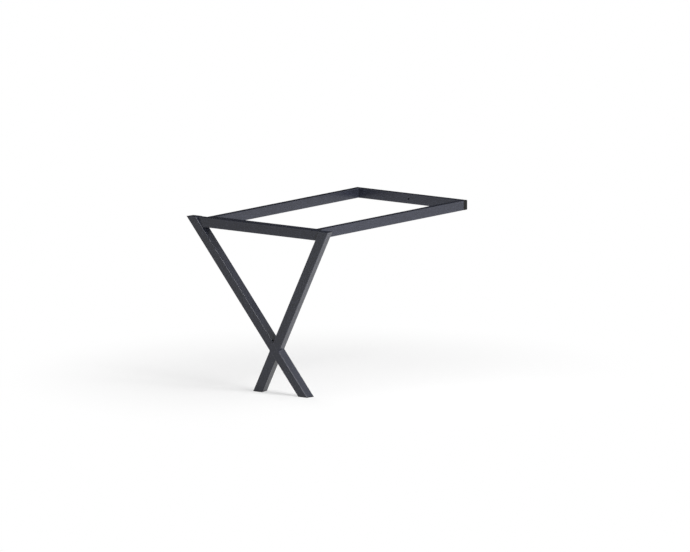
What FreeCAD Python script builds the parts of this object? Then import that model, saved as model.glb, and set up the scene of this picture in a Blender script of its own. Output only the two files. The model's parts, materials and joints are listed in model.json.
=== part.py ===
import FreeCAD, Part
import math
import os
import Sketcher

# X-shaped steel table leg on a rectangular carrier frame, in millimetres.
# +X across the frame, +Y from the leg to the rear bar, +Z up.
# The origin is on the floor, under the middle of the frame's overall length and width.

DRIVING = [
    ("FrameHeight", 720, "floor to the seat of the table top"),
    ("FrameLength", 1037, "leg's top front edge to the back of the rear bar"),
    ("FrameWidth", 568, "over the side rails"),
    ("CrossHeight", 187, "floor to the middle of the crossing"),
    ("LegInset", 153, "how far the feet stand in behind the top edge"),
    ("LegGap", 5.2, "carrier frame to a leg tube, in the leg's middle plane"),
    ("LegSide", 40, "side of the square leg tube"),
    ("LegWall", 1.5, "wall of the leg tube"),
    ("LegBend", 1.5, "inner corner radius of the leg tube"),
    ("BarHeight", 40, "height of the rectangular tube"),
    ("BarDepth", 25, "depth of the rectangular tube"),
    ("BarWall", 1.5, "wall of the rectangular tube"),
    ("BarBend", 0.5, "inner corner radius of the rectangular tube"),
    ("PlateThickness", 3, "plate that closes a leg tube"),
    ("GlideThickness", 3, "part of a glide under its tube"),
    ("GlidePlug", 18, "part of a glide inside its tube"),
    ("PlugClearance", 0.2, "plastic plug to tube wall, each side"),
    ("CapThickness", 2, "head of an end cap"),
    ("CapEdge", 0.8, "bevelled outer edge of that head"),
    ("FinReach", 1.5, "how far an end cap's fins stand out of its core"),
    ("FinThickness", 1.2, "thickness of a fin"),
    ("FinPitch", 4, "fin to fin"),
    ("FinCount", 3, "fins on an end cap"),
    ("ScrewHole", 7, "hole through a rail for a screw into the table top"),
    ("ScrewSpacing", 700, "between the two screw holes of a rail"),
    ("RearSpacing", 320, "between the two threaded inserts of the rear bar"),
    ("BoltSpacing", 400, "between the two bolts that hold the leg"),
    ("BoltDiameter", 8, "shank of a bolt"),
    ("HoleClearance", 0.5, "bolt shank to hole, each side"),
    ("ThreadCore", 6.8, "bore of a threaded insert"),
    ("ThreadClearance", 0.05, "bolt's threaded end to that bore, each side"),
    ("ThreadReach", 11, "how far a bolt enters its insert"),
    ("HeadDiameter", 13, "head of a bolt"),
    ("HeadHeight", 5, "height of that head"),
    ("HeadEdge", 0.8, "bevelled edge of that head"),
    ("SocketWidth", 5, "hexagon socket across its flats"),
    ("SocketDepth", 2.8, "depth of that socket"),
    ("WasherDiameter", 18, "outside of a washer"),
    ("WasherThickness", 1.6, "thickness of a washer"),
    ("InsertDiameter", 11, "body of a threaded insert"),
    ("InsertLength", 14, "length of a threaded insert"),
    ("InsertHead", 0.8, "depth of its countersunk head"),
    ("InsertBulge", 1.4, "how far its set collar stands out"),
    ("InsertCollar", 3.5, "length of its set collar"),
    ("InsertClearance", 0.05, "insert to the hole in the wall, each side"),
]

# The leg's plane leans by LegLean. In that plane each tube turns by LegAngle from upright, so that
# its inner face passes the lower corner of the carrier frame at LegGap. FinGap lets an end cap's
# square fins pass the round inner corners of a bar.
DERIVED = [
    ("LegLean", "atan(LegInset / FrameHeight)"),
    ("CornerAcross", "FrameWidth / 2 + LegGap"),
    ("CornerUp", "(FrameHeight - BarHeight - CrossHeight) / cos(LegLean)"),
    ("CornerReach", "sqrt(CornerAcross ^ 2 + CornerUp ^ 2)"),
    ("LegAngle", "atan(CornerAcross / CornerUp) + asin(LegSide / 2 / CornerReach)"),
    ("LegStock", "2 * (FrameHeight + LegSide) / cos(LegLean) / cos(LegAngle)"),
    ("LegBore", "LegSide - 2 * LegWall"),
    ("LegCorner", "LegBend + LegWall"),
    ("LegPlug", "LegBore - 2 * PlugClearance"),
    ("LegMidDepth", "LegSide / 2 / cos(LegLean)"),
    ("FrontEdge", "-FrameLength / 2"),
    ("CrossPlace", "FrontEdge + LegInset * (1 - CrossHeight / FrameHeight) + LegMidDepth"),
    ("BarMiddle", "FrameHeight - BarHeight / 2"),
    ("BarBoreDepth", "BarDepth - 2 * BarWall"),
    ("BarBoreHeight", "BarHeight - 2 * BarWall"),
    ("BarCorner", "BarBend + BarWall"),
    ("LegBarPlace", "FrontEdge + LegInset * BarHeight / 2 / FrameHeight + LegMidDepth"),
    ("LegBarBack", "LegBarPlace + BarDepth / 2"),
    ("LegBarStock", "2 * (BarMiddle - CrossHeight) / cos(LegLean) * tan(LegAngle)"),
    ("FrontBarPlace", "LegBarPlace + BarDepth"),
    ("FrontBarBack", "FrontBarPlace + BarDepth / 2"),
    ("RearBarBack", "FrameLength / 2"),
    ("RearBarPlace", "RearBarBack - BarDepth / 2"),
    ("CrossBarLength", "FrameWidth - 2 * CapThickness"),
    ("RailLength", "RearBarPlace - FrontBarPlace - BarDepth"),
    ("RailPlace", "(RearBarPlace + FrontBarPlace) / 2"),
    ("RailAcross", "(FrameWidth - BarDepth) / 2"),
    ("FinGap", "PlugClearance + BarBend * (1 - sqrt(0.5))"),
    ("FinDepth", "BarBoreDepth - 2 * FinGap"),
    ("FinHeight", "BarBoreHeight - 2 * FinGap"),
    ("HoleDiameter", "BoltDiameter + 2 * HoleClearance"),
    ("GripLength", "WasherThickness + BarDepth"),
]

UPRIGHT = "rotation(vector(0; 0; 1); 0)"
ALONG_X = "rotation(vector(1; 1; 1); 120)"
AGAINST_X = "rotation(vector(0; 0; 1); 180) * rotation(vector(1; 1; 1); 120)"
ALONG_Y = "rotation(vector(1; 0; 0); -90)"
LEAN = "rotation(vector(1; 0; 0); Size.LegLean)"
THROUGH_TURN = LEAN + " * rotation(vector(0; 1; 0); -Size.LegAngle)"
CROSSING_TURN = LEAN + " * rotation(vector(0; 1; 0); Size.LegAngle)"

LEG_OUTLINE = ("Size.LegSide", "Size.LegSide", "Size.LegCorner")
LEG_BORE = ("Size.LegBore", "Size.LegBore", "Size.LegBend")
LEG_PLUG = ("Size.LegPlug", "Size.LegPlug", "Size.LegBend")
BAR_OUTLINE = ("Size.BarDepth", "Size.BarHeight", "Size.BarCorner")
BAR_BORE = ("Size.BarBoreDepth", "Size.BarBoreHeight", "Size.BarBend")

doc = FreeCAD.newDocument("x_table_leg")
nodes = []


def make_sheet():
    sheet = doc.addObject("Spreadsheet::Sheet", "Size")
    rows = [(name, str(value), note) for name, value, note in DRIVING]
    rows += [(name, "=" + formula, "worked out") for name, formula in DERIVED]
    for row, (name, content, note) in enumerate(rows, start=1):
        sheet.set(f"A{row}", name)
        sheet.set(f"B{row}", content)
        sheet.setAlias(f"B{row}", name)
        sheet.set(f"C{row}", note)
    doc.recompute()


def bind(thing, **formulas):
    for name, formula in formulas.items():
        thing.setExpression(name, formula)


def place(thing, across="0", along="0", up="0", turn=UPRIGHT):
    thing.setExpression("Placement", f"placement(vector({across}; {along}; {up}); {turn})")
    return thing


def node(thing, label):
    thing.Label = label
    nodes.append(thing)


# Sketches

def new_body(name):
    return doc.addObject("PartDesign::Body", name)


def new_sketch(body, plane="XY_Plane", lift=None):
    sketch = body.newObject("Sketcher::SketchObject", body.Name + "Sketch")
    support = next(part for part in body.Origin.OriginFeatures if part.Role == plane)
    sketch.AttachmentSupport = (support, "")
    sketch.MapMode = "FlatFace"
    if lift:
        sketch.setExpression("AttachmentOffset.Base.z", lift)
    return sketch


def value_of(sketch, formula):
    return float(sketch.evalExpression(formula))


def constrain(sketch, kind, *arguments, formula):
    index = sketch.addConstraint(Sketcher.Constraint(kind, *arguments, value_of(sketch, formula)))
    sketch.setExpression(f"Constraints[{index}]", formula)


def closed_outline(sketch, corners):
    """Draw straight lines from corner to corner and back to the first."""
    lines = [
        sketch.addGeometry(Part.LineSegment(start, end))
        for start, end in zip(corners, corners[1:] + corners[:1])
    ]
    for before, line in zip(lines[-1:] + lines[:-1], lines):
        sketch.addConstraint(Sketcher.Constraint("Coincident", before, 2, line, 1))
    return lines


def rectangle(sketch, width, height):
    """Draw a rectangle centred on the sketch's origin."""
    x = value_of(sketch, width) / 2
    y = value_of(sketch, height) / 2
    corners = [FreeCAD.Vector(*corner, 0) for corner in ((-x, -y), (x, -y), (x, y), (-x, y))]
    bottom, right, top, left = closed_outline(sketch, corners)
    for line in (bottom, top):
        sketch.addConstraint(Sketcher.Constraint("Horizontal", line))
    for line in (right, left):
        sketch.addConstraint(Sketcher.Constraint("Vertical", line))
    sketch.addConstraint(Sketcher.Constraint("Symmetric", bottom, 1, top, 1, -1, 1))
    constrain(sketch, "DistanceX", bottom, 1, bottom, 2, formula=width)
    constrain(sketch, "DistanceY", right, 1, right, 2, formula=height)


def rounded_rectangle(sketch, width, height, radius):
    """Draw a rectangle with round corners, centred on the sketch's origin."""
    round_size = value_of(sketch, radius)
    x = value_of(sketch, width) / 2 - round_size
    y = value_of(sketch, height) / 2 - round_size
    corners = [(x, -y), (x, y), (-x, y), (-x, -y)]
    sides = []
    arcs = []
    for quarter, (corner_x, corner_y) in enumerate(corners):
        start = (quarter - 1) * math.pi / 2
        centre = FreeCAD.Vector(corner_x, corner_y, 0)
        before = FreeCAD.Vector(*corners[quarter - 1], 0)
        out = FreeCAD.Vector(math.cos(start), math.sin(start), 0) * round_size
        sides.append(sketch.addGeometry(Part.LineSegment(before + out, centre + out)))
        circle = Part.Circle(centre, FreeCAD.Vector(0, 0, 1), round_size)
        arcs.append(sketch.addGeometry(Part.ArcOfCircle(circle, start, start + math.pi / 2)))
    for quarter in range(4):
        sketch.addConstraint(Sketcher.Constraint("Tangent", sides[quarter], 2, arcs[quarter], 1))
        sketch.addConstraint(Sketcher.Constraint("Tangent", arcs[quarter - 1], 2, sides[quarter], 1))
        direction = "Vertical" if quarter % 2 else "Horizontal"
        sketch.addConstraint(Sketcher.Constraint(direction, sides[quarter]))
    for arc in arcs[1:]:
        sketch.addConstraint(Sketcher.Constraint("Equal", arcs[0], arc))
    sketch.addConstraint(Sketcher.Constraint("Symmetric", arcs[0], 3, arcs[2], 3, -1, 1))
    constrain(sketch, "Radius", arcs[0], formula=radius)
    constrain(sketch, "DistanceX", sides[3], 1, sides[1], 1, formula=width)
    constrain(sketch, "DistanceY", sides[0], 1, sides[2], 1, formula=height)


def round_hole(sketch, diameter):
    """Draw a circle on the sketch's origin."""
    radius = value_of(sketch, diameter) / 2
    circle = Part.Circle(FreeCAD.Vector(0, 0, 0), FreeCAD.Vector(0, 0, 1), radius)
    index = sketch.addGeometry(circle)
    sketch.addConstraint(Sketcher.Constraint("Coincident", index, 3, -1, 1))
    constrain(sketch, "Diameter", index, formula=diameter)


def hole_pair(sketch, diameter, spacing):
    """Draw two equal circles on the sketch's upright axis, either side of its origin."""
    radius = value_of(sketch, diameter) / 2
    height = value_of(sketch, spacing) / 2
    upper, lower = [
        sketch.addGeometry(Part.Circle(FreeCAD.Vector(0, y, 0), FreeCAD.Vector(0, 0, 1), radius))
        for y in (height, -height)
    ]
    sketch.addConstraint(Sketcher.Constraint("PointOnObject", upper, 3, -2))
    sketch.addConstraint(Sketcher.Constraint("Symmetric", upper, 3, lower, 3, -1, 1))
    sketch.addConstraint(Sketcher.Constraint("Equal", upper, lower))
    constrain(sketch, "Diameter", upper, formula=diameter)
    constrain(sketch, "DistanceY", lower, 3, upper, 3, formula=spacing)


def half_outline(sketch, points):
    """Draw a closed outline of (radius, height) formulas beside the sketch's upright axis."""
    corners = [
        FreeCAD.Vector(value_of(sketch, radius), value_of(sketch, height), 0)
        for radius, height in points
    ]
    for line, (radius, height) in zip(closed_outline(sketch, corners), points):
        constrain(sketch, "DistanceX", -1, 1, line, 1, formula=radius)
        constrain(sketch, "DistanceY", -1, 1, line, 1, formula=height)


def hexagon(sketch, across_flats):
    """Draw a hexagon on the sketch's origin, with two flats upright."""
    inner = value_of(sketch, across_flats) / 2
    outer = inner / math.cos(math.pi / 6)
    corners = [
        FreeCAD.Vector(outer * math.cos(angle), outer * math.sin(angle), 0)
        for angle in (math.pi / 6 + step * math.pi / 3 for step in range(6))
    ]
    lines = closed_outline(sketch, corners)
    guide = Part.Circle(FreeCAD.Vector(0, 0, 0), FreeCAD.Vector(0, 0, 1), outer)
    circle = sketch.addGeometry(guide, True)
    sketch.addConstraint(Sketcher.Constraint("Coincident", circle, 3, -1, 1))
    for line in lines:
        sketch.addConstraint(Sketcher.Constraint("PointOnObject", line, 1, circle))
    for line in lines[1:]:
        sketch.addConstraint(Sketcher.Constraint("Equal", lines[0], line))
    sketch.addConstraint(Sketcher.Constraint("Vertical", lines[5]))
    constrain(sketch, "DistanceX", lines[3], 1, lines[0], 1, formula=across_flats)


# Features

def pad(body, sketch, length, symmetric=False):
    feature = body.newObject("PartDesign::Pad", body.Name + "Pad")
    feature.Profile = sketch
    bind(feature, Length=length)
    if symmetric:
        feature.SideType = "Symmetric"
    return feature


def drill(body, sketch, depth):
    """Cut a sketch through the body, half of the depth to each side of the sketch."""
    feature = body.newObject("PartDesign::Pocket", body.Name + "Pocket")
    feature.Profile = sketch
    feature.SideType = "Symmetric"
    bind(feature, Length=depth)


def revolve(body, sketch):
    feature = body.newObject("PartDesign::Revolution", body.Name + "Revolution")
    feature.Profile = sketch
    feature.ReferenceAxis = (sketch, ["V_Axis"])
    feature.Angle = 360


def bar_stock(name, outlines, length):
    """A straight bar about its own Z axis: two outlines make a tube, one a solid bar."""
    body = new_body(name)
    sketch = new_sketch(body)
    for outline in outlines:
        rounded_rectangle(sketch, *outline)
    pad(body, sketch, length, symmetric=True)
    return body


def boolean(kind, name, base, tool):
    result = doc.addObject("Part::" + kind, name)
    result.Base = base
    result.Tool = tool
    return result


def pair(thing, name):
    """Group a piece with its twin on the other side of the frame."""
    twin = doc.addObject("Part::Mirroring", name + "Twin")
    twin.Source = thing
    twin.Normal = FreeCAD.Vector(1, 0, 0)
    group = doc.addObject("Part::Compound", name + "Pair")
    group.Links = [thing, twin]
    return group


# X leg

def leg_stock(name, outlines, turn):
    stock = bar_stock(name, outlines, "Size.LegStock")
    return place(stock, along="Size.CrossPlace", up="Size.CrossHeight", turn=turn)


def level_slab(name, bottom, height):
    """A level slab that takes in the whole leg between two heights."""
    slab = doc.addObject("Part::Box", name)
    bind(slab, Length="Size.LegStock", Width="Size.LegStock", Height=height)
    return place(slab, "-Size.LegStock / 2", "Size.CrossPlace - Size.LegStock / 2", bottom)


def side_block(name, reverse):
    """All that lies on one side of the through tube's middle."""
    body = new_body(name)
    sketch = new_sketch(body, "YZ_Plane")
    rectangle(sketch, "Size.LegStock", "Size.LegStock")
    block = pad(body, sketch, "Size.LegStock")
    block.Reversed = reverse
    return place(body, along="Size.CrossPlace", up="Size.CrossHeight", turn=THROUGH_TURN)


def make_leg():
    """Make the leg's pieces and give back the solid outlines of its two tubes."""
    tube_slab = level_slab(
        "TubeSlab", "Size.GlideThickness", "Size.FrameHeight - Size.GlideThickness - Size.PlateThickness")
    top_slab = level_slab("TopSlab", "Size.FrameHeight - Size.PlateThickness", "Size.PlateThickness")
    floor_slab = level_slab("FloorSlab", "0", "Size.GlideThickness")
    plug_slab = level_slab("PlugSlab", "0", "Size.GlideThickness + Size.GlidePlug")

    turns = {"Through": THROUGH_TURN, "Crossing": CROSSING_TURN}
    solids = {name: leg_stock(name + "Solid", [LEG_OUTLINE], turn) for name, turn in turns.items()}
    tubes = {}
    for name, turn in turns.items():
        stock = leg_stock(name + "Tube", [LEG_OUTLINE, LEG_BORE], turn)
        tubes[name] = boolean("Common", name + "Trimmed", stock, tube_slab)
    node(tubes["Through"], "leg_tube_through")
    for half, reverse in (("upper", False), ("lower", True)):
        block = side_block(half + "Side", reverse)
        rough = boolean("Common", half + "Rough", tubes["Crossing"], block)
        node(boolean("Cut", half + "Half", rough, solids["Through"]), "leg_tube_" + half)

    ends = (("Through", "left", "right"), ("Crossing", "right", "left"))
    for name, top_side, foot_side in ends:
        plate = boolean("Common", name + "Plate", solids[name], top_slab)
        node(plate, "leg_top_plate_" + top_side)
        flange = boolean("Common", name + "Flange", solids[name], floor_slab)
        plug_stock = leg_stock(name + "PlugStock", [LEG_PLUG], turns[name])
        plug = boolean("Common", name + "Plug", plug_stock, plug_slab)
        node(boolean("Fuse", name + "Glide", flange, plug), "foot_glide_" + foot_side)
    return solids


# Bars and rails

def make_leg_bar(leg_solids, seats):
    bar = bar_stock("LegBar", [BAR_OUTLINE, BAR_BORE], "Size.LegBarStock")
    place(bar, along="Size.LegBarPlace", up="Size.BarMiddle", turn=ALONG_X)
    for name, solid in leg_solids.items():
        bar = boolean("Cut", "LegBarTo" + name, bar, solid)
    node(boolean("Cut", "LegBarDrilled", bar, seats), "leg_top_bar")


def make_front_bar():
    bar = bar_stock("FrontBar", [BAR_OUTLINE, BAR_BORE], "Size.CrossBarLength")
    sketch = new_sketch(bar, "YZ_Plane")
    hole_pair(sketch, "Size.HoleDiameter", "Size.BoltSpacing")
    drill(bar, sketch, "2 * Size.BarDepth")
    place(bar, along="Size.FrontBarPlace", up="Size.BarMiddle", turn=ALONG_X)
    node(bar, "frame_front_bar")


def make_rear_bar(seats):
    bar = bar_stock("RearBar", [BAR_OUTLINE, BAR_BORE], "Size.CrossBarLength")
    sketch = new_sketch(bar, "YZ_Plane")
    round_hole(sketch, "Size.HoleDiameter")
    drill(bar, sketch, "2 * Size.BarDepth")
    place(bar, along="Size.RearBarPlace", up="Size.BarMiddle", turn=ALONG_X)
    node(boolean("Cut", "RearBarDrilled", bar, seats), "frame_rear_bar")


def make_side_rails():
    for side, sign in (("left", "-"), ("right", "")):
        rail = bar_stock("Rail" + side, [BAR_OUTLINE, BAR_BORE], "Size.RailLength")
        sketch = new_sketch(rail, "XZ_Plane")
        hole_pair(sketch, "Size.ScrewHole", "Size.ScrewSpacing")
        drill(rail, sketch, "2 * Size.BarHeight")
        place(rail, sign + "Size.RailAcross", "Size.RailPlace", "Size.BarMiddle", ALONG_Y)
        node(rail, "side_rail_" + side)


def end_cap(name):
    """A plastic cap with a bevelled head and a finned plug that points along its own -Z."""
    body = new_body(name)
    head_sketch = new_sketch(body)
    rounded_rectangle(head_sketch, *BAR_OUTLINE)
    head = pad(body, head_sketch, "Size.CapThickness")
    core_sketch = new_sketch(body)
    rectangle(core_sketch, "Size.FinDepth - 2 * Size.FinReach", "Size.FinHeight - 2 * Size.FinReach")
    core_pad = pad(body, core_sketch, "Size.FinPitch * Size.FinCount")
    core_pad.Reversed = True
    fin_sketch = new_sketch(body, lift="-Size.FinPitch")
    rectangle(fin_sketch, "Size.FinDepth", "Size.FinHeight")
    fin = pad(body, fin_sketch, "Size.FinThickness")
    doc.recompute()

    fins = body.newObject("PartDesign::LinearPattern", name + "Fins")
    fins.Originals = [fin]
    fins.Direction = (fin_sketch, ["N_Axis"])
    fins.Reversed = True
    fins.Mode = "Spacing"
    bind(fins, Offset="Size.FinPitch", Occurrences="Size.FinCount")
    body.Tip = fins
    doc.recompute()

    rim = [
        f"Edge{index}" for index, edge in enumerate(fins.Shape.Edges, start=1)
        if all(math.isclose(vertex.Z, head.Length.Value) for vertex in edge.Vertexes)
    ]
    bevel = body.newObject("PartDesign::Chamfer", name + "Bevel")
    bevel.Base = (fins, rim)
    bind(bevel, Size="Size.CapEdge")
    return body


def make_end_caps():
    for end in ("front", "rear"):
        along = f"Size.{end.title()}BarPlace"
        for side, sign, turn in (("left", "-", AGAINST_X), ("right", "", ALONG_X)):
            cap = end_cap(f"Cap{end}{side}")
            place(cap, sign + "Size.CrossBarLength / 2", along, "Size.BarMiddle", turn)
            node(cap, f"{end}_end_cap_{side}")


# Fasteners

def insert_body(name):
    """A threaded insert set in a tube wall: flush head at its own Z 0, set collar behind the wall."""
    body = new_body(name)
    sketch = new_sketch(body, "XZ_Plane")
    half_outline(sketch, [
        ("Size.ThreadCore / 2", "0"),
        ("Size.InsertDiameter / 2 + Size.InsertHead", "0"),
        ("Size.InsertDiameter / 2", "-Size.InsertHead"),
        ("Size.InsertDiameter / 2", "-Size.BarWall"),
        ("Size.InsertDiameter / 2 + Size.InsertBulge", "-Size.BarWall"),
        ("Size.InsertDiameter / 2", "-Size.BarWall - Size.InsertCollar"),
        ("Size.InsertDiameter / 2", "-Size.InsertLength"),
        ("Size.ThreadCore / 2", "-Size.InsertLength"),
    ])
    revolve(body, sketch)
    return body


def insert_seat(name):
    """The countersunk hole that an insert needs in a tube wall."""
    body = new_body(name)
    sketch = new_sketch(body, "XZ_Plane")
    hole = "Size.InsertDiameter / 2 + Size.InsertClearance"
    half_outline(sketch, [
        ("0", "0"),
        (hole + " + Size.InsertHead", "0"),
        (hole, "-Size.InsertHead"),
        (hole, "-2 * Size.BarWall"),
        ("0", "-2 * Size.BarWall"),
    ])
    revolve(body, sketch)
    return body


def bolt_body(name):
    """A socket-head bolt with its head's seat at its own Z 0 and its thread down its own -Z."""
    body = new_body(name)
    sketch = new_sketch(body, "XZ_Plane")
    core = "Size.ThreadCore / 2 - Size.ThreadClearance"
    tip = "-Size.GripLength - Size.ThreadReach"
    half_outline(sketch, [
        ("0", "Size.HeadHeight"),
        ("Size.HeadDiameter / 2 - Size.HeadEdge", "Size.HeadHeight"),
        ("Size.HeadDiameter / 2", "Size.HeadHeight - Size.HeadEdge"),
        ("Size.HeadDiameter / 2", "0"),
        ("Size.BoltDiameter / 2", "0"),
        ("Size.BoltDiameter / 2", "-Size.GripLength"),
        (core, "-Size.GripLength"),
        (core, tip),
        ("0", tip),
    ])
    revolve(body, sketch)
    socket = new_sketch(body, lift="Size.HeadHeight")
    hexagon(socket, "Size.SocketWidth")
    drill(body, socket, "2 * Size.SocketDepth")
    return body


def washer_body(name):
    body = new_body(name)
    sketch = new_sketch(body)
    round_hole(sketch, "Size.WasherDiameter")
    round_hole(sketch, "Size.HoleDiameter")
    pad(body, sketch, "Size.WasherThickness")
    return body


def fastener_pair(make, name, spacing, along):
    thing = make(name)
    place(thing, spacing + " / 2", along, "Size.BarMiddle", ALONG_Y)
    return pair(thing, name)


def make_fasteners():
    head_seat = "Size.FrontBarBack + Size.WasherThickness"
    rows = [
        ("joining_rivet_nuts", insert_body, "Size.BoltSpacing", "Size.LegBarBack"),
        ("joining_washers", washer_body, "Size.BoltSpacing", "Size.FrontBarBack"),
        ("joining_bolts", bolt_body, "Size.BoltSpacing", head_seat),
        ("rear_rivet_nuts", insert_body, "Size.RearSpacing", "Size.RearBarBack"),
    ]
    for label, make, spacing, along in rows:
        node(fastener_pair(make, label.title().replace("_", ""), spacing, along), label)


def check_model():
    """Stop if anything failed to build or a cut removed nothing."""
    failed = [thing.Label for thing in doc.Objects if {"Invalid", "Error"} & set(thing.State)]
    for thing in nodes:
        if thing.Shape.isNull() or not thing.Shape.isValid():
            failed.append(thing.Label)
    for thing in doc.Objects:
        if thing.TypeId == "PartDesign::Pocket" and thing.Shape.Volume >= thing.BaseFeature.Shape.Volume:
            failed.append(thing.Label)
    if failed:
        raise RuntimeError("not built: " + ", ".join(failed))


def export_nodes():
    os.makedirs("parts", exist_ok=True)
    for thing in nodes:
        thing.Shape.exportStep(f"parts/{thing.Label}.step")


make_sheet()
leg_seats = fastener_pair(insert_seat, "LegSeat", "Size.BoltSpacing", "Size.LegBarBack")
rear_seats = fastener_pair(insert_seat, "RearSeat", "Size.RearSpacing", "Size.RearBarBack")
make_leg_bar(make_leg(), leg_seats)
make_front_bar()
make_rear_bar(rear_seats)
make_side_rails()
make_end_caps()
make_fasteners()
doc.recompute()
check_model()
export_nodes()
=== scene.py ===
import json
import math

import bmesh
import bpy
from mathutils import Matrix, Vector


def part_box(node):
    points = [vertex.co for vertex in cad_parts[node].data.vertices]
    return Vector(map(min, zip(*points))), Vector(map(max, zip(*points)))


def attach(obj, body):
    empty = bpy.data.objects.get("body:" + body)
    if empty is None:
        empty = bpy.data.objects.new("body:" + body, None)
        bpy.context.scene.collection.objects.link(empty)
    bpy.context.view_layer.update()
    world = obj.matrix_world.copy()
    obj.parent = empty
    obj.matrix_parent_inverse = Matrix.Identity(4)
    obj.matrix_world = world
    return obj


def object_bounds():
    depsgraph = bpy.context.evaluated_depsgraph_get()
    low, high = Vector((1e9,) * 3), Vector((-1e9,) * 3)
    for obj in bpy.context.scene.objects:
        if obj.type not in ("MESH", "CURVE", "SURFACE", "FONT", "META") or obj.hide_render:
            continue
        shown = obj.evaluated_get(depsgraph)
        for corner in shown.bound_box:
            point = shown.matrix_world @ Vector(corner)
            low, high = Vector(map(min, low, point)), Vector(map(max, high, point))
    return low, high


# X-shaped table leg on its carrier frame: finishes, studio and the photo's view. Lengths are in metres.

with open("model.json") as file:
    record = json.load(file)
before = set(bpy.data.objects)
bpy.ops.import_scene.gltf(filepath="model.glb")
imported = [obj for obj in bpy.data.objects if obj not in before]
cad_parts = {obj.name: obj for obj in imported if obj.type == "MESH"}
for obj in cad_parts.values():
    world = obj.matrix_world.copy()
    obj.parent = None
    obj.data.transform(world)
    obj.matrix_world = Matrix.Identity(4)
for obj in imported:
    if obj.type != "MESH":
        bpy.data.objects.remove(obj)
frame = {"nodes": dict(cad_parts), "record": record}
cad_low, cad_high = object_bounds()
cad_centre = (cad_low + cad_high) / 2

# Photo's view: all but parallel, from the front right and a little above
PHOTO_WIDTH = 690
PHOTO_HEIGHT = 552
PIXELS_PER_METRE = 244.91
LEG_EDGE_PIXEL = (257.18, 224.72)
VIEW_AZIMUTH = math.radians(37.71)
VIEW_ELEVATION = math.radians(9.07)
LENS_MM = 1200
SENSOR_MM = 36

# Welds in the inner corners, painted over
WELD_LEG = 0.003  # width on each face
WELD_ROOT = 0.0015  # depth below the corner
WELD_STOP = 0.0012  # what it leaves free at each end of its corner
WELD_RIPPLE = 0.0019  # length of one ripple
WELD_STEPS = 8  # sections in a ripple
WELD_ARC = 8  # faces from toe to toe
WELD_CROWN = 0.1  # height over its flat chord, as a share of its width
WELD_RELIEF = 0.09  # height of a ripple, as a share of its width
WELD_CRESCENT = 0.45  # how far a ripple's middle is ahead, in ripples
WELD_TIP = 0.4  # width at its very end, as a share of its width
SHARP_ANGLE = math.radians(45)

# Studio
FLOOR_SIZE = 80
FLOOR_DROP = 0.0003
FLOOR_COLOUR = (0.94, 0.94, 0.94, 1)
NEAR_WHITE = 0.5  # share of plain white in the floor under the object
SHADOW_MIDDLE = (-0.1, 0.1, 0)
SHADOW_REACH = (0.3, 1.4)  # where the floor begins to turn white, and where it is all white
SKY_HORIZON = 0.32
SKY_ZENITH = 0.1
FLAG_RADIUS = 4.0
FLAG_LOW = 0.75
FLAG_HIGH = 7.5
FLAG_SPREAD = math.radians(160)
FLAG_SIDES = 12
FLAG_COLOUR = (0.03, 0.03, 0.03, 1)
WHITE = (1, 1, 1, 1)

# Lamps: name, place, size and power in watts
LAMPS = (
    ("key", (2.75, -0.75, 2.3), 1.7, 130),
    ("side", (3.2, -0.6, 0.5), 1.2, 28),
    ("fill", (-2.2, -3.0, 1.6), 2.0, 5),
    ("back", (1.6, 3.4, 1.8), 2.0, 20),
    ("left", (-3.2, 0.8, 1.4), 2.0, 45),
)

# Finishes: colours, then gloss, then the sizes and depths of their grain
COAT_DARK = (0.0165, 0.0182, 0.0285, 1)
COAT_LIGHT = (0.022, 0.0242, 0.036, 1)
# painted highlight: a lighter coat colour on sharp corners, standing in for the light that the edges catch
COAT_EDGE_HIGHLIGHT = (0.043, 0.046, 0.06, 1)
CAP_DARK = (0.004, 0.004, 0.004, 1)
CAP_LIGHT = (0.007, 0.007, 0.007, 1)
GLIDE_DARK = (0.009, 0.009, 0.009, 1)
GLIDE_LIGHT = (0.015, 0.015, 0.015, 1)
OXIDE_DARK = (0.05, 0.05, 0.053, 1)
OXIDE_LIGHT = (0.11, 0.11, 0.115, 1)
ZINC_DARK = (0.5, 0.5, 0.49, 1)
ZINC_LIGHT = (0.7, 0.71, 0.72, 1)
COAT_SPECULAR = 0.37
COAT_ROUGHNESS = (0.24, 0.28)
PLASTIC_SPECULAR = 0.15
PLASTIC_ROUGHNESS = (0.5, 0.66)
OXIDE_ROUGHNESS = (0.34, 0.5)
ZINC_ROUGHNESS = (0.22, 0.38)
COAT_CLOUD = 0.09
COAT_SPECKLE = 0.004
COAT_SHEEN = 0.006
# how far the painted edge highlight reaches from a sharp corner
EDGE_HIGHLIGHT_REACH = 0.0015
PEEL_SIZE, PEEL_DEPTH = 0.0025, 0.000015
GRAIN_SIZE, GRAIN_DEPTH = 0.0006, 0.000006
PLASTIC_CLOUD = 0.012
PLASTIC_SHEEN = 0.003
CAP_GRAIN = 0.0007
GLIDE_GRAIN = 0.0005
PLASTIC_GRAIN_DEPTH = 0.00006
STEEL_CLOUD = 0.005
STEEL_SHEEN = 0.0015
MARK_SIZE, MARK_DEPTH = 0.0004, 0.00002


# Nodes

def add_node(tree, kind, inputs=None, **settings):
    """Add a shader node, with its settings, and with inputs that are values or other nodes' outputs."""
    node = tree.nodes.new("ShaderNode" + kind)
    for name, value in settings.items():
        setattr(node, name, value)
    for name, value in (inputs or {}).items():
        if isinstance(value, bpy.types.NodeSocket):
            tree.links.new(value, node.inputs[name])
        else:
            node.inputs[name].default_value = value
    return node


def new_material(name, metallic=0.0, specular=0.5):
    """A material with one principled shader."""
    material = bpy.data.materials.new(name)
    material.use_nodes = True
    tree = material.node_tree
    shader = tree.nodes["Principled BSDF"]
    shader.inputs["Metallic"].default_value = metallic
    shader.inputs["Specular IOR Level"].default_value = specular
    return material, tree, shader


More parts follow.
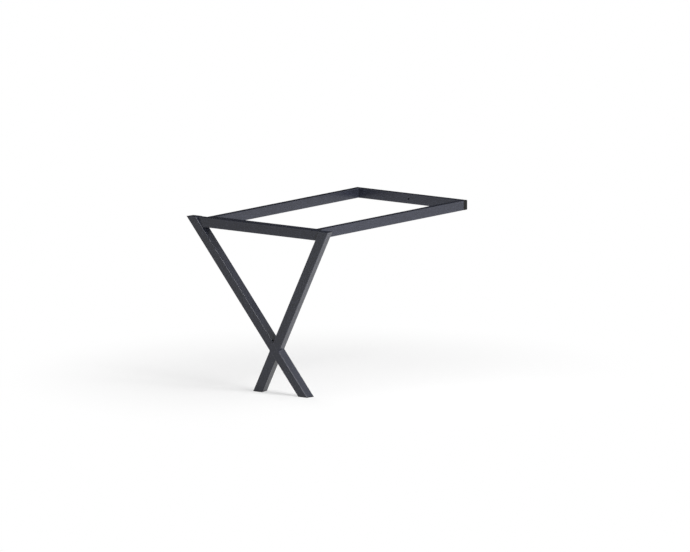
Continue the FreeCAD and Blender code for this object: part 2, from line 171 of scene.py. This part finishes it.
def noise(tree, size, detail=3):
    """Noise with features of about this size, fixed to the object."""
    place = add_node(tree, "TexCoord").outputs["Object"]
    texture = add_node(tree, "TexNoise", {"Vector": place, "Scale": 1 / size, "Detail": detail})
    return texture.outputs["Fac"]


def spread(tree, value, low, high):
    """Stretch the middle of a noise's range over a range of its own."""
    inputs = {"Value": value, "From Min": 0.3, "From Max": 0.7, "To Min": low, "To Max": high}
    return add_node(tree, "MapRange", inputs).outputs["Result"]


def mix_colour(tree, factor, dark, light):
    node = add_node(tree, "Mix", data_type="RGBA")
    tree.links.new(factor, node.inputs["Factor"])
    for name, colour in (("A", dark), ("B", light)):
        socket = next(item for item in node.inputs if item.name == name and item.type == "RGBA")
        if isinstance(colour, bpy.types.NodeSocket):
            tree.links.new(colour, socket)
        else:
            socket.default_value = colour
    return next(item for item in node.outputs if item.type == "RGBA")


def bump(tree, height, depth, under=None):
    """Relief of this depth, on top of another relief."""
    inputs = {"Height": height, "Distance": depth, "Strength": 1}
    if under:
        inputs["Normal"] = under
    return add_node(tree, "Bump", inputs).outputs["Normal"]


def edge_highlight_mask(tree, reach):
    """1 on sharp corners, and 0 on flat faces and wide rounds."""
    soft = add_node(tree, "Bevel", {"Radius": reach}, samples=6).outputs["Normal"]
    flat = add_node(tree, "NewGeometry").outputs["Normal"]
    inputs = {0: soft, 1: flat}
    agreement = add_node(tree, "VectorMath", inputs, operation="DOT_PRODUCT").outputs["Value"]
    mask = add_node(tree, "MapRange", {"Value": agreement, "From Min": 0.995, "From Max": 0.8})
    return mask.outputs["Result"]


def finish_shader(tree, shader, colour, roughness, normal):
    tree.links.new(colour, shader.inputs["Base Color"])
    tree.links.new(roughness, shader.inputs["Roughness"])
    tree.links.new(normal, shader.inputs["Normal"])


# Materials

def powder_coat():
    """Anthracite powder coat: fine grain over orange peel, with a painted highlight (a lighter colour) on
    sharp corners.
    """
    material, tree, shader = new_material("powder_coat", specular=COAT_SPECULAR)
    clouds = spread(tree, noise(tree, COAT_CLOUD), 0, 1)
    speckle = spread(tree, noise(tree, COAT_SPECKLE), 0, 1)
    body = mix_colour(tree, clouds, COAT_DARK, COAT_LIGHT)
    flecked = mix_colour(tree, speckle, body, COAT_LIGHT)
    # painted highlight: the coat colour turns lighter on sharp corners
    colour = mix_colour(tree, edge_highlight_mask(tree, EDGE_HIGHLIGHT_REACH), flecked, COAT_EDGE_HIGHLIGHT)
    roughness = spread(tree, noise(tree, COAT_SHEEN), *COAT_ROUGHNESS)
    peel = bump(tree, noise(tree, PEEL_SIZE), PEEL_DEPTH)
    grain = bump(tree, noise(tree, GRAIN_SIZE), GRAIN_DEPTH, peel)
    finish_shader(tree, shader, colour, roughness, grain)
    return material


def moulded_plastic(name, dark, light, grain_size):
    """Black plastic with a spark-eroded grain."""
    material, tree, shader = new_material(name, specular=PLASTIC_SPECULAR)
    colour = mix_colour(tree, spread(tree, noise(tree, PLASTIC_CLOUD), 0, 1), dark, light)
    roughness = spread(tree, noise(tree, PLASTIC_SHEEN), *PLASTIC_ROUGHNESS)
    grain = bump(tree, noise(tree, grain_size), PLASTIC_GRAIN_DEPTH)
    finish_shader(tree, shader, colour, roughness, grain)
    return material


def plated_steel(name, dark, light, rough_range):
    """Plated or blackened steel with fine turning marks."""
    material, tree, shader = new_material(name, metallic=1.0)
    colour = mix_colour(tree, spread(tree, noise(tree, STEEL_CLOUD), 0, 1), dark, light)
    roughness = spread(tree, noise(tree, STEEL_SHEEN), *rough_range)
    marks = bump(tree, noise(tree, MARK_SIZE), MARK_DEPTH)
    finish_shader(tree, shader, colour, roughness, marks)
    return material


def dress_nodes():
    finishes = {
        "frame_coat": powder_coat(),
        "cap_plastic": moulded_plastic("cap_plastic", CAP_DARK, CAP_LIGHT, CAP_GRAIN),
        "glide_plastic": moulded_plastic("glide_plastic", GLIDE_DARK, GLIDE_LIGHT, GLIDE_GRAIN),
        "bolt_steel": plated_steel("black_oxide", OXIDE_DARK, OXIDE_LIGHT, OXIDE_ROUGHNESS),
        "insert_steel": plated_steel("zinc_plate", ZINC_DARK, ZINC_LIGHT, ZINC_ROUGHNESS),
    }
    for part in frame["record"]["subparts"]:
        materials = frame["nodes"][part["node"]].data.materials
        materials.clear()
        materials.append(finishes[part["material_slot"]])
    return finishes


def new_mesh(name, points, faces, material):
    mesh = bpy.data.meshes.new(name)
    mesh.from_pydata(points, [], faces)
    mesh.materials.append(material)
    thing = bpy.data.objects.new(name, mesh)
    bpy.context.scene.collection.objects.link(thing)
    return thing


# Welds

def across_bead(place, on_first, on_second, leg, phase):
    """Points round a bead at one place: its root, then its crowned face from toe to toe."""
    outward = (on_first + on_second).normalized()
    points = [place - outward * WELD_ROOT]
    for step in range(WELD_ARC + 1):
        share = step / WELD_ARC
        crown = math.sin(math.pi * share)
        ripple = abs(math.sin(math.pi * (phase + WELD_CRESCENT * crown)))
        chord = place + (on_first * (1 - share) + on_second * share) * leg
        points.append(chord + outward * leg * crown * (WELD_CROWN + WELD_RELIEF * ripple))
    return points


def weld_bead(name, start, end, first, second, coat):
    """A rippled weld along the inner corner of two faces, which have these outward normals."""
    on_first = (second - first * first.dot(second)).normalized()
    on_second = (first - second * first.dot(second)).normalized()
    length = (end - start).length
    steps = round(length / WELD_RIPPLE) * WELD_STEPS
    points = []
    for step in range(steps + 1):
        share = step / steps
        inward = min(1, min(share, 1 - share) * length / WELD_LEG)
        leg = WELD_LEG * (WELD_TIP + (1 - WELD_TIP) * math.sqrt(1 - (1 - inward) ** 2))
        points += across_bead(start.lerp(end, share), on_first, on_second, leg, step / WELD_STEPS)
    ring = WELD_ARC + 2
    faces = [tuple(range(ring)), tuple(range(steps * ring, (steps + 1) * ring))]
    for row in range(0, steps * ring, ring):
        for at in range(ring):
            after = (at + 1) % ring
            faces.append((row + at, row + after, row + ring + after, row + ring + at))

    bead = new_mesh(name, points, faces, coat)
    shell = bmesh.new()
    shell.from_mesh(bead.data)
    bmesh.ops.recalc_face_normals(shell, faces=shell.faces)
    shell.to_mesh(bead.data)
    shell.free()
    bead.data.shade_smooth()
    bead.data.set_sharp_from_angle(angle=SHARP_ANGLE)
    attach(bead, "root")


def middle_of(node):
    low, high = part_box(node)
    return (low + high) / 2


def mirrored(vector, side):
    """The vector itself on the left, where side is -1, and its mirror image on the right."""
    return Vector((-side * vector.x, vector.y, vector.z))


def weld_leg(coat):
    """Weld the four corners of the crossing, and the top bar's ends below."""
    middle = middle_of("leg_tube_through")
    through = (middle_of("leg_top_plate_left") - middle).normalized()
    crossing = mirrored(through, 1)
    cross = middle - through * (middle.x / through.x)
    forward = through.cross(crossing).normalized()
    depths = [vertex.co.dot(forward) for vertex in frame["nodes"]["leg_tube_through"].data.vertices]
    half = (max(depths) - min(depths)) / 2
    run = forward * (half - WELD_STOP)

    arms = [(arm, other) for arm in (through, -through) for other in (crossing, -crossing)]
    for number, (arm, other) in enumerate(arms, start=1):
        corner = cross + (arm + other) * (half / arm.cross(other).length)
        on_arm = (other - arm * arm.dot(other)).normalized()
        on_other = (arm - other * arm.dot(other)).normalized()
        weld_bead(f"weld_crossing_{number}", corner - run, corner + run, on_arm, on_other, coat)

    low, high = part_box("leg_top_bar")
    inward = (crossing - through * through.dot(crossing)).normalized()

    def on_leg(y, z):
        """The point of the left tube's inner face at this depth and height."""
        across = half - (y - cross.y) * inward.y - (z - cross.z) * inward.z
        return Vector((across / inward.x, y, z))

    front, back = on_leg(low.y + WELD_STOP, low.z), on_leg(high.y - WELD_STOP, low.z)
    for side, side_name in ((-1, "left"), (1, "right")):
        start, end, leg_face = (mirrored(vector, side) for vector in (front, back, inward))
        weld_bead(f"weld_top_bar_{side_name}", start, end, leg_face, Vector((0, 0, -1)), coat)


# Studio

def seen_directly(tree):
    """1 for what the camera sees, also in reflections and through glass."""
    path = add_node(tree, "LightPath").outputs
    rays = {0: path["Is Glossy Ray"], 1: path["Is Transmission Ray"]}
    indirect = add_node(tree, "Math", rays, operation="MAXIMUM").outputs[0]
    rays = {0: path["Is Camera Ray"], 1: indirect}
    return add_node(tree, "Math", rays, operation="MAXIMUM").outputs[0]


def floor_material():
    """White floor that keeps the shadows near the object."""
    material = bpy.data.materials.new("floor")
    material.use_nodes = True
    tree = material.node_tree
    place = add_node(tree, "TexCoord").outputs["Object"]
    away = add_node(tree, "VectorMath", {0: place, 1: SHADOW_MIDDLE}, operation="DISTANCE").outputs["Value"]
    near, far = SHADOW_REACH
    inputs = {"Value": away, "From Min": near, "From Max": far, "To Min": NEAR_WHITE}
    share = add_node(tree, "MapRange", inputs, interpolation_type="SMOOTHSTEP").outputs["Result"]
    factor = add_node(tree, "Math", {0: share, 1: seen_directly(tree)}, operation="MULTIPLY").outputs[0]
    diffuse = add_node(tree, "BsdfDiffuse", {"Color": FLOOR_COLOUR}).outputs[0]
    glow = add_node(tree, "Emission", {"Color": WHITE, "Strength": 1}).outputs[0]
    mixed = add_node(tree, "MixShader", {0: factor, 1: diffuse, 2: glow}).outputs[0]
    tree.links.new(mixed, tree.nodes["Material Output"].inputs["Surface"])
    return material


def make_floor():
    half = FLOOR_SIZE / 2
    corners = [(x, y, -FLOOR_DROP) for x, y in ((-half, -half), (half, -half), (half, half), (-half, half))]
    new_mesh("floor", corners, [(0, 1, 2, 3)], floor_material())


def make_flag():
    """A dark curved flag behind the object, in reflections only, that keeps its level faces dark."""
    first = VIEW_AZIMUTH + math.pi / 2 - FLAG_SPREAD / 2
    angles = [first + FLAG_SPREAD * step / FLAG_SIDES for step in range(FLAG_SIDES + 1)]
    points = []
    for angle in angles:
        x, y = FLAG_RADIUS * math.cos(angle), FLAG_RADIUS * math.sin(angle)
        points += [(x, y, FLAG_LOW), (x, y, FLAG_HIGH)]
    faces = [(at, at + 1, at + 3, at + 2) for at in range(0, 2 * FLAG_SIDES, 2)]
    material, _, shader = new_material("flag", specular=0.0)
    shader.inputs["Base Color"].default_value = FLAG_COLOUR
    shader.inputs["Roughness"].default_value = 1
    flag = new_mesh("flag", points, faces, material)
    flag.visible_camera = False
    flag.visible_diffuse = False
    flag.visible_shadow = False


def make_world():
    """White to the eye, and for light a sky that is brighter near the horizon."""
    world = bpy.data.worlds.new("studio")
    bpy.context.scene.world = world
    world.use_nodes = True
    tree = world.node_tree
    place = add_node(tree, "TexCoord").outputs["Generated"]
    height = add_node(tree, "SeparateXYZ", {"Vector": place}).outputs["Z"]
    inputs = {"Value": height, "To Min": SKY_HORIZON, "To Max": SKY_ZENITH}
    strength = add_node(tree, "MapRange", inputs).outputs["Result"]
    sky = add_node(tree, "Background", {"Color": WHITE, "Strength": strength}).outputs[0]
    white = add_node(tree, "Background", {"Color": WHITE, "Strength": 1}).outputs[0]
    mixed = add_node(tree, "MixShader", {0: seen_directly(tree), 1: sky, 2: white}).outputs[0]
    tree.links.new(mixed, tree.nodes["World Output"].inputs["Surface"])


def softbox(name, place, size, power):
    """A square area lamp that faces the object."""
    lamp = bpy.data.lights.new(name, "AREA")
    lamp.size = size
    lamp.energy = power
    thing = bpy.data.objects.new(name, lamp)
    thing.location = place
    thing.rotation_euler = (cad_centre - Vector(place)).to_track_quat("-Z", "Y").to_euler()
    bpy.context.scene.collection.objects.link(thing)


def make_lamps():
    for lamp in LAMPS:
        softbox(*lamp)


def make_camera():
    """Camera that puts the middle of the leg's top front edge where the photo has it."""
    back = Vector((
        math.sin(VIEW_AZIMUTH) * math.cos(VIEW_ELEVATION),
        -math.cos(VIEW_AZIMUTH) * math.cos(VIEW_ELEVATION),
        math.sin(VIEW_ELEVATION),
    ))
    right = Vector((math.cos(VIEW_AZIMUTH), math.sin(VIEW_AZIMUTH), 0))
    up = back.cross(right)
    leg_edge = Vector((0, cad_low.y, cad_high.z))
    across = (PHOTO_WIDTH / 2 - LEG_EDGE_PIXEL[0]) / PIXELS_PER_METRE
    down = (PHOTO_HEIGHT / 2 - LEG_EDGE_PIXEL[1]) / PIXELS_PER_METRE
    aim = leg_edge + right * across - up * down
    aim += back * (cad_centre - aim).dot(back)

    data = bpy.data.cameras.new("camera")
    data.sensor_width = SENSOR_MM
    data.lens = LENS_MM
    distance = LENS_MM / SENSOR_MM * PHOTO_WIDTH / PIXELS_PER_METRE
    data.clip_end = 2 * distance
    camera = bpy.data.objects.new("camera", data)
    turned = Matrix((right, up, back)).transposed().to_4x4()
    camera.matrix_world = Matrix.Translation(aim + back * distance) @ turned
    bpy.context.scene.collection.objects.link(camera)
    bpy.context.scene.camera = camera


finishes = dress_nodes()
weld_leg(finishes["frame_coat"])
make_floor()
make_flag()
make_world()
make_lamps()
make_camera()
bpy.context.scene.view_settings.view_transform = "Standard"
